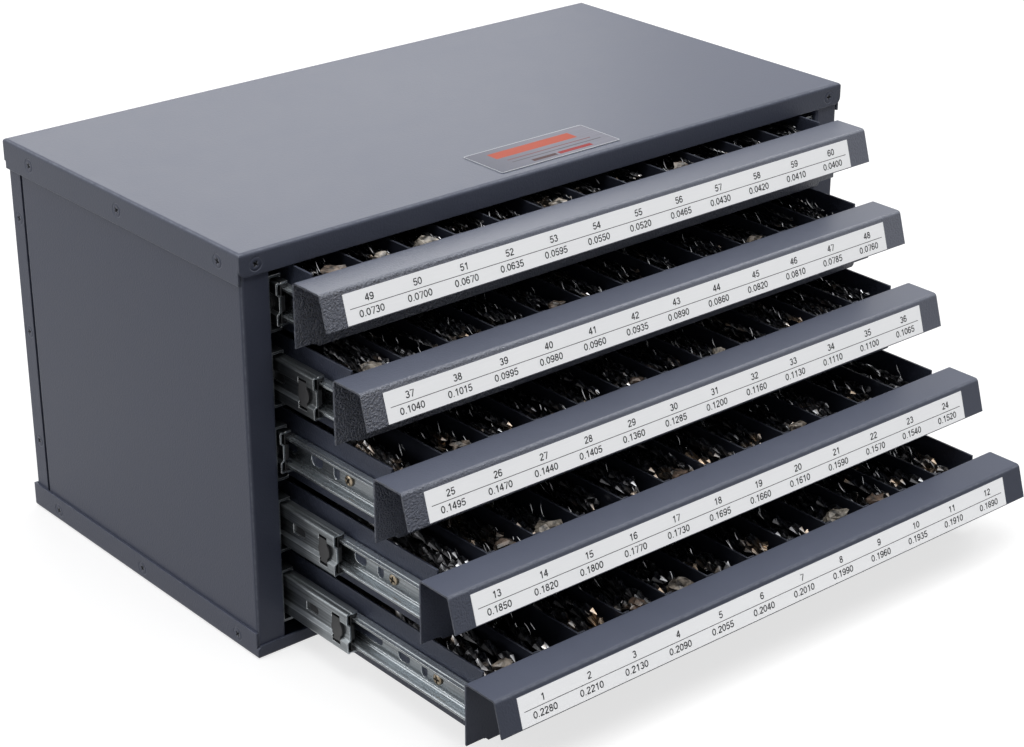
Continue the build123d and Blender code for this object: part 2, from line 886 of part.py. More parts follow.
def make_dividers(index):
    # Thin upright sheets that part the tray into equal compartments. The front
    # end of each is bent to the right into a foot that is welded to the tray.
    y = plate_back(index) + drawer_sheet
    length = tray_length - 2 * drawer_sheet
    height = tray_height - drawer_sheet - divider_set_down
    first = -(compartment_count - 2) / 2 * compartment_pitch
    with BuildPart() as dividers:
        for step in range(compartment_count - 1):
            left = first + step * compartment_pitch - divider_sheet / 2
            with BuildSketch(Plane.XY.offset(tray_bottom(index) + drawer_sheet)) as section:
                with Locations((left, y)):
                    Rectangle(divider_sheet, length, align=(Align.MIN, Align.MIN))
                    Rectangle(divider_foot, divider_sheet, align=(Align.MIN, Align.MIN))
                front_corners = section.vertices().group_by(Axis.Y)[0]
                fillet(front_corners.sort_by(Axis.X)[0], radius=divider_bend_radius)
            extrude(amount=height)
    save(dividers.part, f"dividers_{index + 1}")


def bit_size(number):
    # Diameter and length shrink evenly from the first gauge number to the last.
    share = (number - 1) / (compartment_total - 1)
    diameter = bit_large + (bit_small - bit_large) * share
    length = bit_long + (bit_short - bit_long) * share
    return diameter, length


def make_drill_bits(index):
    # Each compartment holds a small stack of bits of one size, points forward.
    floor_z = tray_bottom(index) + drawer_sheet
    y = plate_back(index) + drawer_sheet + bit_front_gap
    first_number = (drawer_count - 1 - index) * compartment_count + 1
    first_x = -(compartment_count - 1) / 2 * compartment_pitch
    with BuildPart() as bits:
        for step in range(compartment_count):
            diameter, length = bit_size(first_number + step)
            pitch = diameter + bit_gap
            x = first_x + step * compartment_pitch
            low = floor_z + bit_gap + diameter / 2
            high = low + pitch * sqrt(3) / 2
            spots = [(x + (k - (bit_row_count - 1) / 2) * pitch, low) for k in range(bit_row_count)]
            spots += [
                (x + (k - (bit_row_count - 2) / 2) * pitch, high) for k in range(bit_row_count - 1)
            ]
            point = diameter / 2 / tan(radians(bit_point_angle / 2))
            with Locations(*[across(y + point, 0) * Pos(sx, sz, 0) for sx, sz in spots]):
                Cylinder(
                    radius=diameter / 2,
                    height=length - point,
                    align=(Align.CENTER, Align.CENTER, Align.MAX),
                )
                Cone(
                    bottom_radius=diameter / 2,
                    top_radius=0,
                    height=point,
                    align=(Align.CENTER, Align.CENTER, Align.MIN),
                )
    save(bits.part, f"drill_bits_{index + 1}")


# ---------------------------------------------------------------------- assembly
os.makedirs("parts", exist_ok=True)
make_top_cover()
make_bottom_pan()
make_side_panel(-1, "left_side_panel")
make_side_panel(1, "right_side_panel")
make_back_panel()
make_rear_uprights()
make_case_screws()
make_name_plate()
make_outer_rails()
make_rail_mounting_screws()
for drawer_index in range(drawer_count):
    make_middle_rails(drawer_index)
    make_rail_bumpers(drawer_index)
    make_ball_cages(drawer_index)
    make_inner_rails(drawer_index)
    make_drawer_screws(drawer_index)
    make_drawer_front(drawer_index)
    make_label_strip(drawer_index)
    make_drawer_tray(drawer_index)
    make_dividers(drawer_index)
    make_drill_bits(drawer_index)
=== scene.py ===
import math
import random

import bmesh
import bpy
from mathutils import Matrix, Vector, noise


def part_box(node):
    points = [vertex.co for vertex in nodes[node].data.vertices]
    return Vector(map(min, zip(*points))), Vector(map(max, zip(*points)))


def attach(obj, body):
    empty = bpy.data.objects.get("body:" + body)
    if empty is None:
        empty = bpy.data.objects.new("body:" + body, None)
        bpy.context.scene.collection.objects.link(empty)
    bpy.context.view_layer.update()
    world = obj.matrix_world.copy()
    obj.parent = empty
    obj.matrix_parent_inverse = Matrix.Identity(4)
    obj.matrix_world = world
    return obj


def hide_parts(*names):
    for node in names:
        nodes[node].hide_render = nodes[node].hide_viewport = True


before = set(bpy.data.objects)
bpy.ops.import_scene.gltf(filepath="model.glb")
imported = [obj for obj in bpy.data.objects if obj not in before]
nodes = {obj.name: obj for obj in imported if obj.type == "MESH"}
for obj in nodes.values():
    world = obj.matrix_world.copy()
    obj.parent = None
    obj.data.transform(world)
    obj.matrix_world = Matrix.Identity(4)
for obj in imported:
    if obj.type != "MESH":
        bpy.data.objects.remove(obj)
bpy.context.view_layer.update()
scene = bpy.context.scene

# ---------------------------------------------------------------------- the room
# The camera stands to the left of the open drawers and looks down on them, as in
# the photograph. A broad soft lamp hangs overhead, with weaker ones at both sides
# and far behind, over a plain floor that looks white and sends little light up.
camera_data = bpy.data.cameras.new("camera")
camera_data.sensor_width = 36.0
camera_data.lens = 83.83
camera = bpy.data.objects.new("camera", camera_data)
camera.location = (-0.7543, -0.9553, 0.6111)
camera.rotation_euler = (math.radians(65.557), math.radians(0.02), math.radians(-40.216))
scene.collection.objects.link(camera)
scene.camera = camera
scene.view_settings.view_transform = "Standard"


class Signal:
    """A value on its way through a finish's nodes. A sum written on it adds its Math nodes."""

    def __init__(self, tree, socket):
        self.tree = tree
        self.socket = socket

    def node(self, kind, settings=None, inputs=None, take=0):
        made = self.tree.nodes.new(kind)
        for name, value in (settings or {}).items():
            setattr(made, name, value)
        for name, value in (inputs or {}).items():
            if isinstance(value, Signal):
                self.tree.links.new(value.socket, made.inputs[name])
            else:
                made.inputs[name].default_value = value
        return Signal(self.tree, made.outputs[take])

    def maths(self, operation, first, second=0.0, clamp=False):
        settings = {"operation": operation, "use_clamp": clamp}
        return self.node("ShaderNodeMath", settings, {0: first, 1: second})

    def __add__(self, other):
        return self.maths("ADD", self, other)

    def __radd__(self, other):
        return self.maths("ADD", other, self)

    def __sub__(self, other):
        return self.maths("SUBTRACT", self, other)

    def __rsub__(self, other):
        return self.maths("SUBTRACT", other, self)

    def __mul__(self, other):
        return self.maths("MULTIPLY", self, other)

    def __rmul__(self, other):
        return self.maths("MULTIPLY", other, self)

    def __truediv__(self, other):
        return self.maths("DIVIDE", self, other)

    def __pow__(self, other):
        return self.maths("POWER", self, other)

    def __abs__(self):
        return self.maths("ABSOLUTE", self)

    def held(self):
        """The same value, kept between 0 and 1."""
        return self.maths("ADD", self, 0.0, clamp=True)

    def blend(self, low, high):
        """Colour low where this is 0 and colour high where it is 1."""
        settings = {"data_type": "RGBA", "clamp_factor": True}
        return self.node("ShaderNodeMix", settings, {0: self, 6: low, 7: high}, take=2)

    def along(self, axis):
        """This vector's part along one axis: 0 for x, 1 for y, 2 for z."""
        return self.node("ShaderNodeSeparateXYZ", {}, {0: self}, take=axis)


def seen_directly(tree):
    """1 for rays from the camera, reflections and glass, and 0 for the light that a surface sends on."""
    path = tree.nodes.new("ShaderNodeLightPath").outputs
    seen = Signal(tree, path["Is Camera Ray"]) + Signal(tree, path["Is Glossy Ray"])
    return (seen + Signal(tree, path["Is Transmission Ray"])).held()


floor_reach = 9
floor_corners = [
    (-floor_reach, -floor_reach, 0),
    (floor_reach, -floor_reach, 0),
    (floor_reach, floor_reach, 0),
    (-floor_reach, floor_reach, 0),
]
floor_mesh = bpy.data.meshes.new("floor")
floor_mesh.from_pydata(floor_corners, [], [(0, 1, 2, 3)])
floor = bpy.data.objects.new("floor", floor_mesh)
scene.collection.objects.link(floor)
floor_paint = bpy.data.materials.new("floor_paint")
floor_paint.use_nodes = True
floor_tree = floor_paint.node_tree
floor_shader = floor_tree.nodes["Principled BSDF"]
floor_shader.inputs["Roughness"].default_value = 1.0
floor_shader.inputs["Specular IOR Level"].default_value = 0.0
floor_seen = seen_directly(floor_tree)
floor_colour = floor_seen.blend((0.1, 0.1, 0.104, 1), (0.45, 0.45, 0.45, 1))
floor_tree.links.new(floor_colour.socket, floor_shader.inputs["Base Color"])
floor_shader.inputs["Emission Strength"].default_value = 0.72
floor_glow = floor_seen.blend((0, 0, 0, 1), (1, 1, 1, 1))
floor_tree.links.new(floor_glow.socket, floor_shader.inputs["Emission Color"])
floor_mesh.materials.append(floor_paint)

studio = bpy.data.worlds.new("studio")
studio.use_nodes = True
studio_tree = studio.node_tree
studio_light = studio_tree.nodes["Background"]
studio_colour = seen_directly(studio_tree).blend((0.075, 0.075, 0.078, 1), (1, 1, 1, 1))
studio_tree.links.new(studio_colour.socket, studio_light.inputs["Color"])
scene.world = studio


def hang_lamp(name, place, aim, width, height, watts):
    lamp_data = bpy.data.lights.new(name, "AREA")
    lamp_data.shape = "RECTANGLE"
    lamp_data.size = width
    lamp_data.size_y = height
    lamp_data.energy = watts
    lamp = bpy.data.objects.new(name, lamp_data)
    lamp.location = place
    lamp.rotation_euler = (Vector(aim) - Vector(place)).to_track_quat("-Z", "Y").to_euler()
    lamp.visible_camera = False
    scene.collection.objects.link(lamp)


hang_lamp("lamp_overhead", (-0.2, -0.4, 2.1), (0.0, -0.05, 0.1), 1.7, 1.7, 31.0)
hang_lamp("lamp_right", (1.5, 0.15, 2.1), (0.0, -0.1, 0.1), 0.8, 1.1, 13.0)
hang_lamp("lamp_left", (-2.1, 0.9, 1.1), (0.0, 0.0, 0.1), 1.3, 1.2, 15.0)
hang_lamp("lamp_behind", (0.45, 0.86, 0.72), (0.0, 0.0, 0.2), 0.75, 0.45, 2.65)

# --------------------------------------------------------------------- top cover
# The cover is a folded pan of 1.2 mm steel with flanges on all four sides, held
# by screws. It is powder coated slate grey, nearly smooth and slightly glossy,
# and the coat thins to a light line along the sheet's edges, a line that is also
# a painted highlight, as are the light lines painted along its bends.


def new_finish(name, constants):
    finish = bpy.data.materials.new(name)
    finish.use_nodes = True
    shader = finish.node_tree.nodes["Principled BSDF"]
    for socket, value in constants.items():
        shader.inputs[socket].default_value = value
    place = finish.node_tree.nodes.new("ShaderNodeTexCoord").outputs["Object"]
    return finish, Signal(finish.node_tree, place)


def send_to_shader(finish, signals):
    shader = finish.node_tree.nodes["Principled BSDF"]
    for socket, signal in signals.items():
        finish.node_tree.links.new(signal.socket, shader.inputs[socket])


def cloud(place, scale, detail=2.0):
    return place.node("ShaderNodeTexNoise", {}, {"Vector": place, "Scale": scale, "Detail": detail})


def sheet_edge(place, radius, gain):
    """1 along the edges of a sheet and 0 on its faces, with the normal of the rounded edge."""
    rounded = place.node("ShaderNodeBevel", {"samples": 6}, {"Radius": radius})
    flat = place.node("ShaderNodeNewGeometry", {}, {}, take=3)
    dot = {"operation": "DOT_PRODUCT"}
    same = place.node("ShaderNodeVectorMath", dot, {0: rounded, 1: flat}, take=1)
    return ((1.0 - same) * gain).held(), rounded


def facing(place):
    """The way that each face points."""
    return place.node("ShaderNodeNewGeometry", {}, {}, take=1)


def away_from_axes(place):
    """1 where a face leans between the axes, as on a bend, and 0 where it is flat and square."""
    plain = place.node("ShaderNodeVectorMath", {"operation": "ABSOLUTE"}, {0: facing(place)})
    sides = [plain.along(axis) for axis in range(3)]
    largest = place.maths("MAXIMUM", place.maths("MAXIMUM", sides[0], sides[1]), sides[2])
    return ((0.93 - largest) * 5.0).held()


def marked(place, attribute):
    """The value that a mesh carries under this name at each point, or 0 where it has none."""
    return place.node("ShaderNodeAttribute", {"attribute_name": attribute}, {}, take=2)


def shaded(colour, factor):
    return tuple(factor * c for c in colour) + (1,)


def relief(height, normal=None):
    """The normal of a surface raised by height in metres, over another normal when one is given."""
    inputs = {"Strength": 1.0, "Distance": 1.0, "Height": height}
    if normal is not None:
        inputs["Normal"] = normal
    return height.node("ShaderNodeBump", {}, inputs)


def powder_coat(name, colour, peel, hammer, edge_light=0.8, shine=0.28, left_only=0.0):
    """Slate powder coat. Peel and hammer are the depths in metres of its fine and its coarse texture.

    Edge_light is how far the coat lightens along edges, as worn thin coat and as a painted highlight,
    shine its specular level, and left_only the share of the coarse texture that is missing away from
    the case's left side. The coat also carries a painted highlight along its bends and painted shade
    in the dips of its coarse texture and in screw recesses."""
    finish, place = new_finish(name, {"Specular IOR Level": shine, "IOR": 1.45})
    # Lighter coat where it wears thin at edges; the same colour paints highlights along edges and bends.
    thin_coat_and_highlight = (0.42, 0.45, 0.52, 1)
    painted_recess_shade = (0.006, 0.006, 0.007, 1)
    fine = cloud(place, 900.0)
    lumps = cloud(place, 980.0)
    upward = facing(place).along(2).held()
    from_left = place.along(0) + 0.06
    right_part = (from_left * 9.0 + 1.0).held() * left_only
    rough_side = (1.0 - 0.92 * upward ** 3.0) * (1.0 - right_part)
    height = fine * peel + lumps * rough_side * hammer
    edge, rounded = sheet_edge(place, 0.0007, 3.0)
    broken = cloud(place, 260.0)
    # Along the edges the coat is lightened, partly as worn thin coat and partly as a painted highlight.
    wear_and_edge_highlight = (edge * (broken * 1.6 - 0.35)).held()
    # Along bends the coat is lightened as a painted highlight.
    bend = (away_from_axes(place) * (broken * 1.6 - 0.15)).held()
    patch = cloud(place, 9.0) * 0.5 + cloud(place, 70.0) * 0.5
    # Painted shade darkens the dips of the coarse texture.
    pit_shade = ((0.47 - lumps) * rough_side * (hammer * 3000.0)).held()
    coat = patch.held().blend(shaded(colour, 0.92), shaded(colour, 1.08))
    coat = pit_shade.blend(coat, shaded(colour, 0.4))
    coat = (bend * 0.4).blend(coat, thin_coat_and_highlight)
    coat = (wear_and_edge_highlight * edge_light).blend(coat, thin_coat_and_highlight)
    # Painted shade darkens the screw heads' recesses.
    coat = marked(place, "recess").blend(coat, painted_recess_shade)
    gloss = 0.36 + 0.1 * patch - 0.1 * wear_and_edge_highlight
    send_to_shader(finish, {"Base Color": coat, "Roughness": gloss, "Normal": relief(height, rounded)})
    return finish


def dress(node, finish):
    slots = nodes[node].material_slots
    for slot in slots:
        slot.material = finish
    if not slots:
        nodes[node].data.materials.append(finish)


top_slate = (0.102, 0.114, 0.158)
top_coat = powder_coat("slate_powder_coat", top_slate, 0.00006, 0.00012)
dress("top_cover", top_coat)

# ------------------------------------------------- bottom pan, sides, back, uprights
# The rest of the case is folded from the same sheet and coated with it: the pan
# that it stands on, two side panels that turn in to the front stiles, the back
# with its flanges, and a channel inside each rear corner that takes the screws.
# The pan, sides and back get a darker copy of the top's coat as painted shade,
# and the channels a darker one still, also painted shade.
side_slate_painted_shade = (0.083, 0.093, 0.136)
side_coat = powder_coat("slate_coat_sides_painted_shade", side_slate_painted_shade, 0.000012, 0.00015)
for node in ("bottom_pan", "left_side_panel", "right_side_panel", "back_panel"):
    dress(node, side_coat)
inner_coat_painted_shade = powder_coat("slate_coat_inside_painted_shade", (0.06, 0.068, 0.1), 0.000012, 0.0)
dress("rear_uprights", inner_coat_painted_shade)

# ------------------------------------------------------------------- case screws
# Countersunk machine screws with a cross recess, painted over with the case and
# flush with the flanges that they clamp to the panels behind.


def screw_head(name, radius, rise, recess, arm, depth, skirt, wall_shade):
    """A head that faces +Z, its crown at z 0, with a cross recess and a skirt down into its seat.

    Recess is how far the cross reaches, arm half its slots' width, and wall_shade how much painted
    shade its walls get, as a share of the painted shade on its floor."""
    steps = 32
    corners = []

    def ring(reach, z, cross=False):
        for step in range(steps):
            angle = 2 * math.pi * step / steps
            off = abs((angle + math.pi / 4) % (math.pi / 2) - math.pi / 4)
            far = reach
            if cross:
                far = reach * min(recess / math.cos(off), arm / max(math.sin(off), 0.01))
            corners.append((far * math.cos(angle), far * math.sin(angle), z))

    ring(radius, -rise - skirt)
    ring(radius, -rise)
    ring(0.93 * radius, -0.45 * rise)
    ring(0.7 * radius, -0.12 * rise)
    ring(1.12, -0.02 * rise, cross=True)
    ring(1.0, -0.08 * depth, cross=True)
    ring(0.72, -depth, cross=True)
    faces = []
    for row in range(6):
        for step in range(steps):
            after = (step + 1) % steps
            low = row * steps
            faces.append((low + step, low + after, low + steps + after, low + steps + step))
    faces.append(tuple(range(6 * steps, 7 * steps)))
    faces.append(tuple(reversed(range(steps))))
    mesh = bpy.data.meshes.new(name)
    mesh.from_pydata(corners, [], faces)
    mesh.shade_smooth()
    recess_shade_values = mesh.attributes.new("recess", "FLOAT", "POINT")
    # The last two of the seven rings lie in the recess, and carry its painted shade.
    for index, item in enumerate(recess_shade_values.data):
        item.value = (0.0, wall_shade, 1.0)[max(0, index // steps - 4)]
    master = bpy.data.objects.new(name, mesh)
    scene.collection.objects.link(master)
    return master


def repeat_tree(name):
    """Geometry Nodes: a copy of Master on every point, facing the point's way, rolled at random."""
    tree = bpy.data.node_groups.new(name, "GeometryNodeTree")
    face = tree.interface
    face.new_socket("Seats", in_out="INPUT", socket_type="NodeSocketGeometry")
    face.new_socket("Master", in_out="INPUT", socket_type="NodeSocketObject")
    face.new_socket("Largest Roll", in_out="INPUT", socket_type="NodeSocketFloat")
    face.new_socket("Seed", in_out="INPUT", socket_type="NodeSocketInt")
    face.new_socket("Finish", in_out="INPUT", socket_type="NodeSocketMaterial")
    face.new_socket("Pieces", in_out="OUTPUT", socket_type="NodeSocketGeometry")
    make = tree.nodes.new
    link = tree.links.new
    given = make("NodeGroupInput")
    result = make("NodeGroupOutput")
    master = make("GeometryNodeObjectInfo")
    link(given.outputs["Master"], master.inputs["Object"])
    way = make("GeometryNodeInputNamedAttribute")
    way.data_type = "FLOAT_VECTOR"
    way.inputs["Name"].default_value = "way"
    size = make("GeometryNodeInputNamedAttribute")
    size.data_type = "FLOAT_VECTOR"
    size.inputs["Name"].default_value = "size"
    faced = make("FunctionNodeAlignRotationToVector")
    faced.axis = "Z"
    link(way.outputs[0], faced.inputs["Vector"])
    chance = make("FunctionNodeRandomValue")
    chance.data_type = "FLOAT"
    link(given.outputs["Largest Roll"], chance.inputs[3])
    link(given.outputs["Seed"], chance.inputs["Seed"])
    roll = make("FunctionNodeAxisAngleToRotation")
    roll.inputs["Axis"].default_value = (0, 0, 1)
    link(chance.outputs[1], roll.inputs["Angle"])
    turned = make("FunctionNodeRotateRotation")
    turned.rotation_space = "LOCAL"
    link(faced.outputs[0], turned.inputs[0])
    link(roll.outputs[0], turned.inputs[1])
    copies = make("GeometryNodeInstanceOnPoints")
    link(given.outputs["Seats"], copies.inputs["Points"])
    link(master.outputs["Geometry"], copies.inputs["Instance"])
    link(turned.outputs[0], copies.inputs["Rotation"])
    link(size.outputs[0], copies.inputs["Scale"])
    real = make("GeometryNodeRealizeInstances")
    link(copies.outputs[0], real.inputs[0])
    painted = make("GeometryNodeSetMaterial")
    link(real.outputs[0], painted.inputs["Geometry"])
    link(given.outputs["Finish"], painted.inputs["Material"])
    link(painted.outputs[0], result.inputs[0])
    return tree


def repeat_on_seats(name, master, seats, finish, roll, seed):
    """One plain mesh of copies of master. Seats are (place, way it faces, size)."""
    points = bpy.data.meshes.new(name + "_seats")
    points.from_pydata([tuple(seat[0]) for seat in seats], [], [])
    for attribute, column in (("way", 1), ("size", 2)):
        layer = points.attributes.new(attribute, "FLOAT_VECTOR", "POINT")
        for item, seat in zip(layer.data, seats):
            item.vector = seat[column]
    holder = bpy.data.objects.new(name + "_seats", points)
    scene.collection.objects.link(holder)
    tree = repeat_tree(name + "_tree")
    modifier = holder.modifiers.new("repeat", "NODES")
    modifier.node_group = tree
    sockets = tree.interface.items_tree
    given = {item.name: item.identifier for item in sockets if item.in_out == "INPUT"}
    modifier[given["Master"]] = master
    modifier[given["Largest Roll"]] = roll
    modifier[given["Seed"]] = seed
    modifier[given["Finish"]] = finish
    look = bpy.context.evaluated_depsgraph_get()
    mesh = bpy.data.meshes.new_from_object(holder.evaluated_get(look))
    mesh.name = name
    holder.modifiers.remove(modifier)
    bpy.data.objects.remove(holder)
    piece = bpy.data.objects.new(name, mesh)
    scene.collection.objects.link(piece)
    return piece


def in_mm(*values):
    return tuple(value / 1000.0 for value in values)


# The screw heads take the darker side coat with its painted shade, and a painted highlight round their
# rims.
screw_coat = powder_coat("painted_screw_heads", side_slate_painted_shade, 0.00002, 0.0, edge_light=1.2)
case_head = screw_head("case_screw_head", 0.00368, 0.00045, 0.0015, 0.0005, 0.0011, 0.0007, 0.8)
true_size = (1, 1, 1)
any_roll = 6.283
case_seats = []
for side in (-1, 1):
    # The side flanges of the cover and the pan.
    for y in (-89.5, -2.2, 82.1):
        for z in (204.6, 6.6):
            case_seats.append((in_mm(side * 200.0, y, z), (side, 0, 0), true_size))
    # The back's side flange, behind the side panel.
    for z in (42.2, 106.5, 170.8):
        case_seats.append((in_mm(side * 198.8, 99.5, z), (side, 0, 0), true_size))
    # The end of the cover's front flange.
    case_seats.append((in_mm(side * 190.8, -107.5, 206.4), (0, -1, 0), true_size))
# The rear flanges of the cover and the pan.
for x in (-150, 0, 150):
    for z in (207.0, 6.6):
        case_seats.append((in_mm(x, 107.5, z), (0, 1, 0), true_size))
case_screws = repeat_on_seats(
    "painted_case_screws", case_head, case_seats, screw_coat, any_roll, 4
)
bpy.data.objects.remove(case_head)
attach(case_screws, "case")
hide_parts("case_screws")

# -------------------------------------------------------------------- name plate
# A thin grey film stuck near the front edge of the top. It is left plain but for
# a broad orange bar, two faint rules, two short bars, one dark and one red, and a
# light border along its edges that is a painted highlight.
plate_low, plate_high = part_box("name_plate")
plate_finish, plate_place = new_finish("grey_plate_film", {"Specular IOR Level": 0.2})
plate_across = (plate_place.along(0) - plate_low.x) / (plate_high.x - plate_low.x)
plate_up = (plate_place.along(1) - plate_low.y) / (plate_high.y - plate_low.y)


def within(value, low, high):
    """1 where the value lies between low and high, and 0 elsewhere."""
    limits = {0: value, 1: (low + high) / 2, 2: (high - low) / 2}
    return value.node("ShaderNodeMath", {"operation": "COMPARE"}, limits)


def bar(left, right, bottom, top):
    """A rectangle on the plate, in shares of its width and height."""
    return within(plate_across, left, right) * within(plate_up, bottom, top)


def streaks_along(place, scales):
    """A cloud drawn out into streaks, by its scale along each axis."""
    stretched = place.node("ShaderNodeVectorMath", {"operation": "MULTIPLY"}, {0: place, 1: scales})
    return cloud(stretched, 1.0)


plate_streaks = streaks_along(plate_place, (60, 1400, 60))
plate_print = plate_streaks.blend((0.13, 0.132, 0.165, 1), (0.28, 0.28, 0.33, 1))
plate_print = (plate_across * 1.4 + 0.25).held().blend((0.1, 0.108, 0.14, 1), plate_print)
plate_bars = (
    ((0.14, 0.82, 0.56, 0.82), (0.42, 0.065, 0.03, 1)),
    ((0.18, 0.88, 0.4, 0.43), (0.17, 0.055, 0.065, 1)),
    ((0.18, 0.93, 0.28, 0.31), (0.08, 0.08, 0.1, 1)),
    ((0.3, 0.5, 0.1, 0.19), (0.04, 0.008, 0.01, 1)),
    ((0.52, 0.8, 0.1, 0.2), (0.26, 0.006, 0.006, 1)),
)
for edges, bar_colour in plate_bars:
    plate_print = bar(*edges).blend(plate_print, bar_colour)
# The light border and the lightened edges are a painted highlight.
plate_inside = bar(0.006, 0.994, 0.02, 0.98)
plate_print = plate_inside.blend((0.5, 0.52, 0.56, 1), plate_print)
plate_edge_highlight, plate_round = sheet_edge(plate_place, 0.0005, 4.0)
plate_print = (plate_edge_highlight * 0.6).blend(plate_print, (0.8, 0.82, 0.86, 1))
send_to_shader(
    plate_finish,
    {"Base Color": plate_print, "Roughness": 0.46 + 0.16 * plate_streaks, "Normal": plate_round},
)
dress("name_plate", plate_finish)

# ------------------------------------------------------- slides: rails and balls
# Ten telescopic slides roll-formed from zinc-plated strip: an outer rail on the
# stile and the rear upright, a middle rail that runs in it on balls, and an
# inner rail screwed to the tray. Rolling leaves fine streaks along each rail.
zinc = (0.88, 0.95, 1.0)


def rolled_zinc(name, web, lip, roughness, streaks):
    """Zinc-plated strip drawn out along Y, with painted shade on its flat web and a painted highlight on
    its rolled lips and along its edges.

    Web and lip are the brightnesses of that painted shade and painted highlight, and streaks is the
    depth of the drawn lines in metres."""
    finish, place = new_finish(name, {"Metallic": 0.82, "Specular IOR Level": 0.5})
    broad_lines = streaks_along(place, (900, 9, 900))
    fine_lines = streaks_along(place, (3200, 30, 3200))
    lines = broad_lines * 0.6 + fine_lines * 0.4
    edge, rounded = sheet_edge(place, 0.0004, 2.2)
    bloom = cloud(place, 60.0)
    sideways = abs(facing(place).along(0))
    shade = (lines * 2.6 - 0.95 + bloom * 0.3).held()
    # Painted shade on the flat web, a painted highlight on the rolled lips.
    web_shade_colour = shade.blend(shaded(zinc, 0.45 * web), shaded(zinc, 1.7 * web))
    lip_highlight_colour = shade.blend(shaded(zinc, 0.6 * lip), shaded(zinc, 1.3 * lip))
    plated = ((1.0 - sideways) * 2.2).held().blend(web_shade_colour, lip_highlight_colour)
    # A painted highlight along the edges.
    bright = edge.blend(plated, (0.9, 0.93, 0.95, 1))
    bump = relief(lines * streaks, rounded)
    gloss = roughness + 0.14 * bloom - 0.06 * edge
    send_to_shader(finish, {"Base Color": bright, "Roughness": gloss, "Normal": bump})
    return finish


# The brightness of the painted shade on the webs and of the painted highlight on the lips of each
# drawer's middle rails, from the top one down; the upper drawers get more shade.
rail_painted_light = ((0.05, 0.22), (0.06, 0.26), (0.08, 0.32), (0.18, 0.46), (0.22, 0.5))
# The outer rails and their screws get the darkest web and lips, painted shade inside the case; the inner
# rails' lips get a bright painted highlight.
outer_zinc = rolled_zinc("zinc_outer_rails", 0.05, 0.14, 0.3, 0.00003)
inner_zinc = rolled_zinc("zinc_inner_rails", 0.2, 0.78, 0.2, 0.00003)
ball_steel = rolled_zinc("ball_steel", 0.6, 0.6, 0.12, 0.0)
dress("outer_rails", outer_zinc)
dress("rail_mounting_screws", outer_zinc)
for number, (web, lip) in enumerate(rail_painted_light, 1):
    middle_zinc = rolled_zinc(f"zinc_middle_rails_{number}", web, lip, 0.24, 0.00003)
    dress(f"middle_rails_{number}", middle_zinc)
    dress(f"inner_rails_{number}", inner_zinc)
    dress(f"ball_cages_{number}", ball_steel)

# --------------------------------------------------------------------- bumpers
# A black nylon moulding is pressed into the front end of each middle rail, where
# it stops the drawer softly. It has a satin skin with faint flow marks.
nylon, nylon_place = new_finish("black_nylon", {"Specular IOR Level": 0.5})
nylon_grain = cloud(nylon_place, 900.0)
nylon_edge, nylon_round = sheet_edge(nylon_place, 0.0005, 2.0)
nylon_bump = relief(nylon_grain * 0.00002, nylon_round)
# The edges are lightened as a painted highlight, over the moulding's grain.
nylon_grain_and_highlight = nylon_edge * 0.5 + nylon_grain * 0.2
nylon_colour = nylon_grain_and_highlight.blend((0.008, 0.008, 0.009, 1), (0.06, 0.06, 0.065, 1))
send_to_shader(
    nylon,
    {"Base Color": nylon_colour, "Roughness": 0.32 + 0.2 * nylon_grain, "Normal": nylon_bump},
)
for number in range(1, 6):
    dress(f"rail_bumpers_{number}", nylon)

# ---------------------------------------------------------------- drawer fronts
# Each front is one folded sheet: the plate, a flat top and a lip that leans out
# as a finger pull. The coat is hammered on the upper drawers, most of all on the
# lips and inside the pulls at their left ends, and calmer on the lower ones.
front_slate = (0.105, 0.118, 0.163)
# The hammering's depth in metres and the coat's shine, from the top drawer down.
front_hammer = ((0.0026, 1.0), (0.0024, 1.0), (0.0016, 0.75), (0.0005, 0.35), (0.0002, 0.2))
for number, (depth, shine) in enumerate(front_hammer, 1):
    hammered = powder_coat(
        f"hammered_coat_{number}", front_slate, 0.000016, depth, shine=shine, left_only=0.85
    )
    dress(f"drawer_front_{number}", hammered)

# ------------------------------------------------------------ trays and dividers
# The trays are spot welded behind the fronts and parted by thin upright sheets
# into twelve compartments each. They carry the same coat, smoother, made darker as
# painted shade inside the drawers, the dividers darkest and with a painted highlight
# along their edges.
tray_coat_painted_shade = powder_coat("tray_coat_painted_shade", (0.058, 0.066, 0.098), 0.000012, 0.0004)
divider_coat_painted_shade = powder_coat("divider_coat_painted_shade", (0.034, 0.038, 0.056), 0.000012, 0.0, edge_light=1.0)
for number in range(1, 6):
    dress(f"drawer_tray_{number}", tray_coat_painted_shade)
    dress(f"dividers_{number}", divider_coat_painted_shade)

# ------------------------------------------------------------------- label strips
# A brushed silver film runs along each lip, printed in dark grey with a thin
# rule, the gauge numbers above it and their sizes in inches below it.
film, film_place = new_finish("silver_label_film", {"Specular IOR Level": 0.5, "Metallic": 0.7})
film_brush = streaks_along(film_place, (90, 2400, 2400))
film_wave = cloud(film_place, 14.0)
film_light = film_brush * 0.5 + film_wave * 0.5
film_colour = film_light.blend((0.84, 0.85, 0.87, 1), (0.95, 0.955, 0.965, 1))
film_bump = relief(film_wave * 0.0001)
send_to_shader(
    film,
    {"Base Color": film_colour, "Roughness": 0.38 + 0.12 * film_brush, "Normal": film_bump},
)
ink, ink_place = new_finish("label_ink", {"Specular IOR Level": 0.3})
ink_fleck = cloud(ink_place, 2500.0)
send_to_shader(
    ink,
    {
        "Base Color": ink_fleck.blend((0.012, 0.013, 0.016, 1), (0.03, 0.032, 0.038, 1)),
        "Roughness": 0.45 + 0.15 * ink_fleck,
    },
)

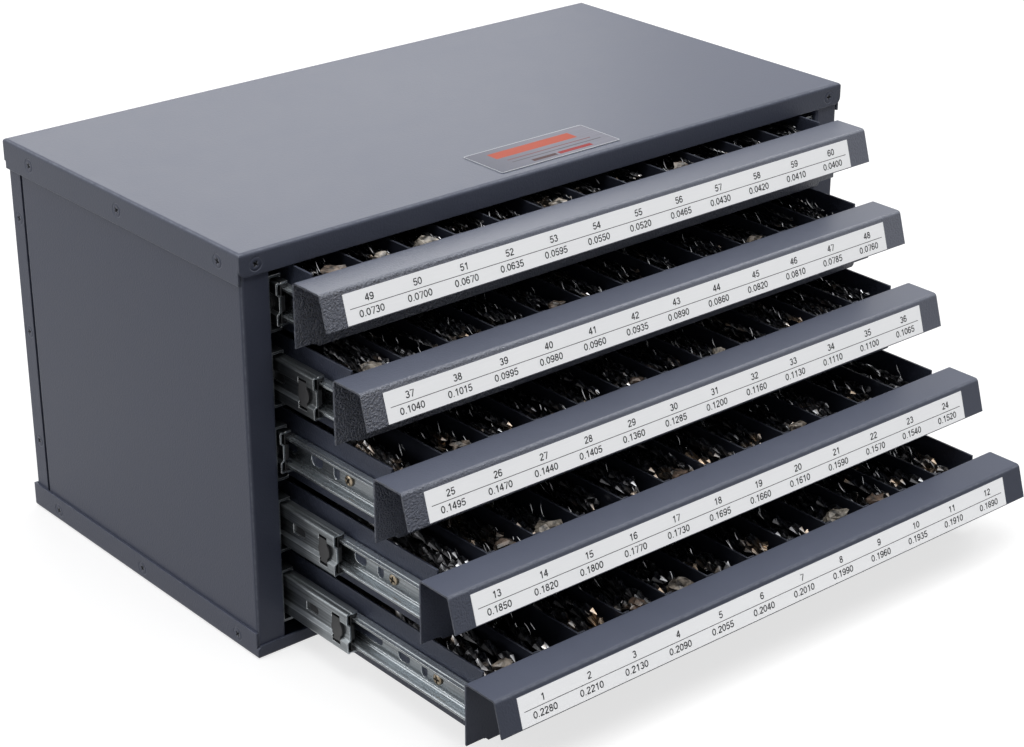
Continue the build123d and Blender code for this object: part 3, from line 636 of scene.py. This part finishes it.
# The sizes in inches of gauges 1 to 60, twelve to a drawer from the lowest one up.
gauge_sizes = (
    "0.2280 0.2210 0.2130 0.2090 0.2055 0.2040 0.2010 0.1990 0.1960 0.1935 0.1910 0.1890",
    "0.1850 0.1820 0.1800 0.1770 0.1730 0.1695 0.1660 0.1610 0.1590 0.1570 0.1540 0.1520",
    "0.1495 0.1470 0.1440 0.1405 0.1360 0.1285 0.1200 0.1160 0.1130 0.1110 0.1100 0.1065",
    "0.1040 0.1015 0.0995 0.0980 0.0960 0.0935 0.0890 0.0860 0.0820 0.0810 0.0785 0.0760",
    "0.0730 0.0700 0.0670 0.0635 0.0595 0.0550 0.0520 0.0465 0.0430 0.0420 0.0410 0.0400",
)


def arc(centre_x, centre_y, reach_x, reach_y, first, last):
    """Points along part of an ellipse, from angle first to angle last in degrees."""
    turns = [math.radians(first + (last - first) * step / 12) for step in range(13)]
    return [(centre_x + reach_x * math.cos(turn), centre_y + reach_y * math.sin(turn)) for turn in turns]


# Each figure is a few strokes in a box 1 high and 0.7 wide, x counted from its middle.
six = [arc(0, 0.32, 0.27, 0.26, 0, 360), arc(0.03, 0.5, 0.31, 0.44, 180, 40)]
figure_strokes = {
    "0": [arc(0, 0.5, 0.28, 0.44, 0, 360)],
    "1": [[(0.08, 0), (0.08, 1)], [(0.08, 0.95), (-0.19, 0.74)]],
    "2": [arc(0, 0.7, 0.26, 0.24, 170, -20) + [(-0.3, 0.06)], [(-0.3, 0.06), (0.3, 0.06)]],
    "3": [arc(-0.01, 0.73, 0.23, 0.21, 160, -90), arc(0, 0.29, 0.27, 0.23, 90, -165)],
    "4": [[(0.12, 0.97), (-0.3, 0.32)], [(-0.33, 0.29), (0.33, 0.29)], [(0.14, 0), (0.14, 1)]],
    "5": [[(0.28, 0.94), (-0.17, 0.94), (-0.24, 0.5)], arc(0, 0.33, 0.28, 0.27, 140, -160)],
    "6": six,
    "7": [[(-0.29, 0.94), (0.3, 0.94), (-0.06, 0)]],
    "8": [arc(0, 0.74, 0.22, 0.2, 0, 360), arc(0, 0.29, 0.27, 0.23, 0, 360)],
    "9": [[(-x, 1 - y) for x, y in stroke] for stroke in six],
    ".": [[(0, 0), (0, 0.13)]],
}
stroke_width = 0.165


def set_words(words, height, corners, faces):
    """Adds the words' strokes as ribbons, centred on 0 along x and standing on y 0, in metres."""
    advances = [(0.39 if character == "." else 0.776) * height for character in words]
    start = -sum(advances) / 2
    for character, advance in zip(words, advances):
        for stroke in figure_strokes[character]:
            first = len(corners)
            for index, (x, y) in enumerate(stroke):
                before = stroke[max(index - 1, 0)]
                after = stroke[min(index + 1, len(stroke) - 1)]
                along = Vector((after[0] - before[0], after[1] - before[1])).normalized()
                for side in (-stroke_width / 2, stroke_width / 2):
                    place = (x - along.y * side, y + along.x * side)
                    corners.append((start + advance / 2 + place[0] * height, place[1] * height))
            for low in range(first, first + 2 * (len(stroke) - 1), 2):
                faces.append((low, low + 2, low + 3, low + 1))
        start += advance


def plain_piece(name, corners, faces, finish):
    mesh = bpy.data.meshes.new(name)
    mesh.from_pydata([tuple(corner) for corner in corners], [], faces)
    mesh.materials.append(finish)
    piece = bpy.data.objects.new(name, mesh)
    scene.collection.objects.link(piece)
    return piece


figure_height = 0.0034
gauge_rise = 0.0089
size_rise = 0.0022
rule_rises = (0.00704, 0.00736)
rule_inset = 0.0027
first_label = 0.0144
label_pitch = 0.02796
strip_thickness = 0.00025
print_lift = 0.00004
# The lip leans out 5.1 mm over a height of 17 mm.
lean = math.atan2(5.1, 17.0)
up = Vector((0, math.sin(lean), math.cos(lean)))
out = Vector((0, -math.cos(lean), math.sin(lean)))
for number in range(1, 6):
    strip_low, strip_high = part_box(f"label_strip_{number}")
    # The strip's outer lower edge is its foremost point.
    foot = Vector((strip_low.x, strip_low.y, strip_low.z + strip_thickness * math.sin(lean)))
    length = strip_high.x - strip_low.x
    corners = []
    faces = []
    first_gauge = (5 - number) * 12 + 1
    for step, size in enumerate(gauge_sizes[5 - number].split()):
        middle = first_label + step * label_pitch
        for words, rise in ((str(first_gauge + step), gauge_rise), (size, size_rise)):
            first = len(corners)
            set_words(words, figure_height, corners, faces)
            for index in range(first, len(corners)):
                x, y = corners[index]
                corners[index] = foot + Vector((middle + x, 0, 0)) + up * (rise + y) + out * print_lift
    rule = len(corners)
    for x in (rule_inset, length - rule_inset):
        for rise in rule_rises:
            corners.append(foot + Vector((x, 0, 0)) + up * rise + out * print_lift)
    faces.append((rule, rule + 2, rule + 3, rule + 1))
    label_print = plain_piece(f"label_print_{number}", corners, faces, ink)
    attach(label_print, f"drawer_{number}")
    dress(f"label_strip_{number}", film)

# ---------------------------------------------------------- screws in the trays
# Yellow-plated pan-head screws with a cross recess hold the inner rails to the
# tray's side walls, two to a rail.
brassy, brassy_place = new_finish("yellow_plating", {"Metallic": 1.0})
brassy_cloud = cloud(brassy_place, 700.0)
brassy_round = sheet_edge(brassy_place, 0.0002, 2.0)[1]
brassy_colour = brassy_cloud.blend((0.1, 0.08, 0.055, 1), (0.46, 0.38, 0.28, 1))
# The cross recess is darkened as painted shade.
send_to_shader(
    brassy,
    {
        "Base Color": marked(brassy_place, "recess").blend(brassy_colour, (0.02, 0.017, 0.013, 1)),
        "Roughness": 0.22 + 0.2 * brassy_cloud,
        "Normal": brassy_round,
    },
)
pan_radius = 0.0029
pan_head = screw_head("pan_head", pan_radius, 0.0007, 0.0019, 0.00052, 0.0011, 0.0007, 1.0)
for number in range(1, 6):
    low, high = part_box(f"drawer_screws_{number}")
    middle_z = (low.z + high.z) / 2
    seats = []
    for side, x in ((-1, low.x), (1, high.x)):
        for y in (low.y + pan_radius, high.y - pan_radius):
            seats.append(((x, y, middle_z), (side, 0, 0), true_size))
    pan_screws = repeat_on_seats(f"pan_screws_{number}", pan_head, seats, brassy, any_roll, number)
    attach(pan_screws, f"drawer_{number}")
    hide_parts(f"drawer_screws_{number}")
bpy.data.objects.remove(pan_head)

# -------------------------------------------------------------------- drill bits
# Twist drills of black-finished steel, with two ground flutes, a bright pointed
# tip and a plain shank. Each compartment is heaped with one size, points forward.


def twist_drill():
    """A bit one metre long and one metre thick along +Z, to be scaled to its diameter and length."""
    sides = 8
    flute_steps = 11
    flute_turns = 2.2
    tip_radius = 0.04
    corners = []
    for z in (0.0, 0.32):
        for side in range(sides):
            angle = 2 * math.pi * side / sides
            corners.append((0.5 * math.cos(angle), 0.5 * math.sin(angle), z))
    for step in range(flute_steps):
        z = 0.34 + 0.63 * step / (flute_steps - 1)
        turn = 2 * math.pi * flute_turns * step / (flute_steps - 1)
        for side in range(sides):
            angle = 2 * math.pi * side / sides + turn
            radius = 0.5 if side % 4 < 2 else 0.26
            corners.append((radius * math.cos(angle), radius * math.sin(angle), z))
    for side in range(sides):
        corners.append((tip_radius * math.cos(side), tip_radius * math.sin(side), 1.0))
    faces = []
    for row in range(len(corners) // sides - 1):
        for side in range(sides):
            after = (side + 1) % sides
            low = row * sides
            faces.append((low + side, low + after, low + sides + after, low + sides + side))
    faces.append(tuple(reversed(range(sides))))
    mesh = bpy.data.meshes.new("twist_drill")
    mesh.from_pydata(corners, [], faces)
    ground = mesh.attributes.new("ground", "FLOAT", "POINT")
    margin = mesh.attributes.new("margin", "FLOAT", "POINT")
    for index, vertex in enumerate(mesh.vertices):
        ground.data[index].value = 1.0 if vertex.co.z > 0.96 else 0.0
        margin.data[index].value = 1.0 if vertex.co.z > 0.33 and index % 4 == 1 else 0.0
    master = bpy.data.objects.new("twist_drill", mesh)
    scene.collection.objects.link(master)
    return master


black_steel, steel_place = new_finish("black_tool_steel", {"Metallic": 1.0})
steel_cloud = cloud(steel_place, 420.0)
steel_spot = cloud(steel_place, 60.0)
tarnish = (steel_spot * 5.0 - 2.9).held()
steel_colour = steel_cloud.blend((0.05, 0.05, 0.052, 1), (0.19, 0.19, 0.2, 1))
steel_colour = tarnish.blend(steel_colour, (0.36, 0.26, 0.17, 1))
# The margins along the flutes are bright, partly as ground steel and partly as a painted highlight.
steel_colour = (marked(steel_place, "margin") ** 2.0).blend(steel_colour, (0.62, 0.63, 0.65, 1))
bare_tip = (marked(steel_place, "ground") * (steel_spot * 6.0 - 2.9)).held()
send_to_shader(
    black_steel,
    {
        "Base Color": (bare_tip * 0.8).blend(steel_colour, (0.6, 0.46, 0.33, 1)),
        "Roughness": 0.2 + 0.2 * steel_cloud,
    },
)
drill_master = twist_drill()
chance = random.Random(7)
compartments = 12
compartment = 0.3355 / compartments
sheet = 0.0012


def fineness(number, step):
    """0 for gauge 1, the thickest, at the left of the lowest drawer, and 1 for gauge 60."""
    return ((5 - number) * compartments + step) / 59


for number in range(1, 6):
    tray_low, tray_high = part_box(f"drawer_tray_{number}")
    floor_z = tray_low.z + sheet
    heap_top = 0.88 * (tray_high.z - floor_z)
    seats = []
    for step in range(compartments):
        # From 5.8 mm thick and 98 mm long down to 1 mm and 41 mm, and from 14 bits up to 30.
        fine = fineness(number, step)
        diameter = 0.0058 - 0.0048 * fine
        reach = 0.098 - 0.057 * fine
        x = (step - 5.5) * compartment
        spread = compartment / 2 - sheet - diameter / 2
        for index in range(round(14 + 16 * fine)):
            rise = (diameter + 0.002) / 2 + (heap_top - diameter) * chance.random() ** 0.6
            at_x = x + chance.uniform(-spread, spread)
            at_y = tray_low.y + 0.003 + chance.uniform(0.0, 0.014)
            lean_in = (spread - abs(at_x - x)) / reach
            turn = chance.uniform(-1.0, 1.0) * min(0.14, lean_in + 0.02)
            dip = chance.uniform(-0.05, 0.1) * min(1.0, rise / 0.012)
            way = Vector((turn, -1.0, dip)).normalized()
            tail = Vector((at_x, at_y, floor_z + rise)) - way * reach
            # The shank stays between the dividers and above the tray's floor.
            tail.x = min(max(tail.x, x - spread), x + spread)
            tail.z = max(tail.z, floor_z + diameter / 2)
            seats.append((tail, way, (diameter, diameter, reach)))
    heap = repeat_on_seats(
        f"twist_drills_{number}", drill_master, seats, black_steel, any_roll, 20 + number
    )
    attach(heap, f"drawer_{number}")
    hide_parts(f"drill_bits_{number}")
bpy.data.objects.remove(drill_master)

# ------------------------------------------------------------------ film pouches
# The bits lie in crumpled pouches of clear film, one to a compartment, puffed up
# over the heap. The film is drawn only along its sharpest ridges and crumples, in
# pale colours that are a painted highlight.
film_clear, clear_place = new_finish("clear_film", {"Specular IOR Level": 0.7, "Roughness": 0.18})
creases = cloud(clear_place, 190.0, 3.0)
ridge = (1.0 - abs(creases - 0.5) * 26.0).held() ** 2.0
broken = (cloud(clear_place, 90.0) * 6.0 - 3.1).held()
crumple = (cloud(clear_place, 55.0, 3.0) * 14.0 - 9.1).held()
# Only ridges and crumples are opaque, as pale painted highlights.
film_alpha = (ridge * broken * 0.8 + crumple * 0.8 + 0.02).held()
film_tint = (cloud(clear_place, 22.0) * 4.0 - 1.6).held()
film_shade = film_tint.blend((0.42, 0.43, 0.44, 1), (0.62, 0.5, 0.38, 1))
send_to_shader(
    film_clear,
    {"Base Color": film_shade, "Alpha": film_alpha, "Normal": relief(creases * 0.0012)},
)
pouch_columns = 9
pouch_rows = 18
pouch_half_width = 0.0125
lowest_rise = 0.002
highest_rise = 0.0315
for number in range(1, 6):
    tray_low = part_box(f"drawer_tray_{number}")[0]
    corners = []
    faces = []
    for step in range(compartments):
        x = (step - 5.5) * compartment
        reach = 0.1 - 0.05 * fineness(number, step)
        top = chance.uniform(0.019, 0.027)
        first = len(corners)
        for row in range(pouch_rows + 1):
            for column in range(pouch_columns + 1):
                u = column / pouch_columns * 2 - 1
                v = row / pouch_rows
                puff = (1 - u ** 4) * math.sin(math.pi * (v * 0.92 + 0.04)) ** 0.45
                here = Vector((x + u * pouch_half_width, tray_low.y + 0.0015 + v * reach, 0))
                bump = noise.noise(Vector((here.x * 150, here.y * 90, number * 3.7)))
                dent = noise.noise(Vector((here.x * 420, here.y * 260, number * 9.1)))
                rise = 0.004 + puff * top * (0.78 + 0.5 * bump) + 0.0022 * dent
                rise = min(max(rise, lowest_rise), highest_rise)
                corners.append((here.x, here.y, tray_low.z + sheet + rise))
        for row in range(pouch_rows):
            for column in range(pouch_columns):
                low = first + row * (pouch_columns + 1) + column
                faces.append((low, low + 1, low + pouch_columns + 2, low + pouch_columns + 1))
    pouches = plain_piece(f"film_pouches_{number}", corners, faces, film_clear)
    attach(pouches, f"drawer_{number}")

# ------------------------------------------------------------------ film creases
# Where the film is pinched it stands up in sharp creases, which glint as short
# pale lines between the bits.
film_glint, glint_place = new_finish("film_creases", {"Metallic": 1.0})
glint_cloud = cloud(glint_place, 500.0)
send_to_shader(
    film_glint,
    {
        "Base Color": glint_cloud.blend((0.16, 0.16, 0.17, 1), (0.9, 0.91, 0.93, 1)),
        "Roughness": 0.22 + 0.2 * glint_cloud,
    },
)
creases_each = 8
crease_rows = 5
for number in range(1, 6):
    tray_low, tray_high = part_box(f"drawer_tray_{number}")
    corners = []
    faces = []
    for step in range(compartments):
        depth = 0.055 - 0.02 * fineness(number, step)
        for index in range(creases_each):
            x = (step - 5.5 + chance.uniform(-0.42, 0.42)) * compartment
            y = tray_low.y + 0.003 + chance.random() * depth
            z = tray_high.z - 0.0035 - chance.uniform(0.0, 0.007)
            length = chance.uniform(0.002, 0.0075)
            half_width = chance.uniform(0.0001, 0.00022)
            bow = chance.uniform(-0.4, 0.4)
            sway = chance.uniform(-0.25, 0.25)
            first = len(corners)
            for row in range(crease_rows + 1):
                v = row / crease_rows - 0.5
                bent = Vector((sway * v + bow * v * v, 0.62 * v, 0.7 * v)) * length
                middle = Vector((x, y, z)) + bent
                thin = half_width * (1.1 - 1.8 * abs(v))
                corners.append(middle - Vector((thin, 0, 0)))
                corners.append(middle + Vector((thin, 0, 0)))
            for low in range(first, first + 2 * crease_rows, 2):
                faces.append((low, low + 1, low + 3, low + 2))
    crease_piece = plain_piece(f"film_creases_{number}", corners, faces, film_glint)
    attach(crease_piece, f"drawer_{number}")

# ------------------------------------------------------------------------- folds
# In some compartments the pouch ends in a balled-up fold close behind the
# drawer's plate. The folds are bronze to cream in colour, with painted shade in
# dark patches that stand for their hollows.
fold_paper, paper_place = new_finish("pouch_folds", {"Specular IOR Level": 0.6})
paper_cloud = cloud(paper_place, 300.0, 3.0)
# Painted shade in dark patches over the folds.
fold_hollow_shade = ((0.62 - paper_cloud) * 4.0).held()
paper_colour = marked(paper_place, "tone").blend((0.15, 0.085, 0.055, 1), (0.5, 0.45, 0.38, 1))
send_to_shader(
    fold_paper,
    {
        "Base Color": fold_hollow_shade.blend(paper_colour, (0.04, 0.035, 0.03, 1)),
        "Roughness": 0.22 + 0.2 * paper_cloud,
    },
)
# Compartment, width in metres and tone of each fold, from 0 for bronze to 1 for cream.
folds = {
    1: ((0, 0.01, 0.3), (1, 0.008, 0.9), (2, 0.012, 1.0), (5, 0.009, 0.8), (8, 0.008, 0.4)),
    2: ((0, 0.009, 0.9), (4, 0.007, 0.3), (9, 0.008, 0.6)),
    3: ((1, 0.008, 0.4), (5, 0.007, 0.1), (7, 0.006, 0.8)),
    4: ((1, 0.01, 0.25), (2, 0.012, 0.95), (5, 0.008, 0.1), (8, 0.008, 0.7)),
    5: ((0, 0.009, 0.7), (3, 0.009, 0.1), (4, 0.011, 0.8), (8, 0.011, 1.0), (9, 0.009, 0.15)),
}
# Noise vectors, unlike plain noise, change with every run unless they are seeded.
noise.seed_set(5)
for number, drawer_folds in folds.items():
    tray_low, tray_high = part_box(f"drawer_tray_{number}")
    corners = []
    faces = []
    tones = []
    for step, width, tone in drawer_folds:
        ball = bmesh.new()
        bmesh.ops.create_icosphere(ball, subdivisions=2, radius=width / 2)
        first = len(corners)
        y = tray_low.y + 0.002 + 0.45 * width
        z = tray_high.z - 0.0008 - 0.42 * width
        centre = Vector(((step - 5.5) * compartment, y, z))
        for vertex in ball.verts:
            seed_place = vertex.co * 290.0 + Vector((step * 5.3, number * 3.1, 0.0))
            swell = 1.0 + 0.5 * noise.noise(seed_place)
            here = vertex.co * swell + 0.28 * width * noise.noise_vector(seed_place)
            corners.append(centre + Vector((1.25 * here.x, 0.8 * here.y, 0.6 * here.z)))
            tones.append(tone)
        faces.extend(tuple(first + vertex.index for vertex in face.verts) for face in ball.faces)
        ball.free()
    fold_piece = plain_piece(f"pouch_folds_{number}", corners, faces, fold_paper)
    tone_layer = fold_piece.data.attributes.new("tone", "FLOAT", "POINT")
    for item, tone in zip(tone_layer.data, tones):
        item.value = tone
    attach(fold_piece, f"drawer_{number}")
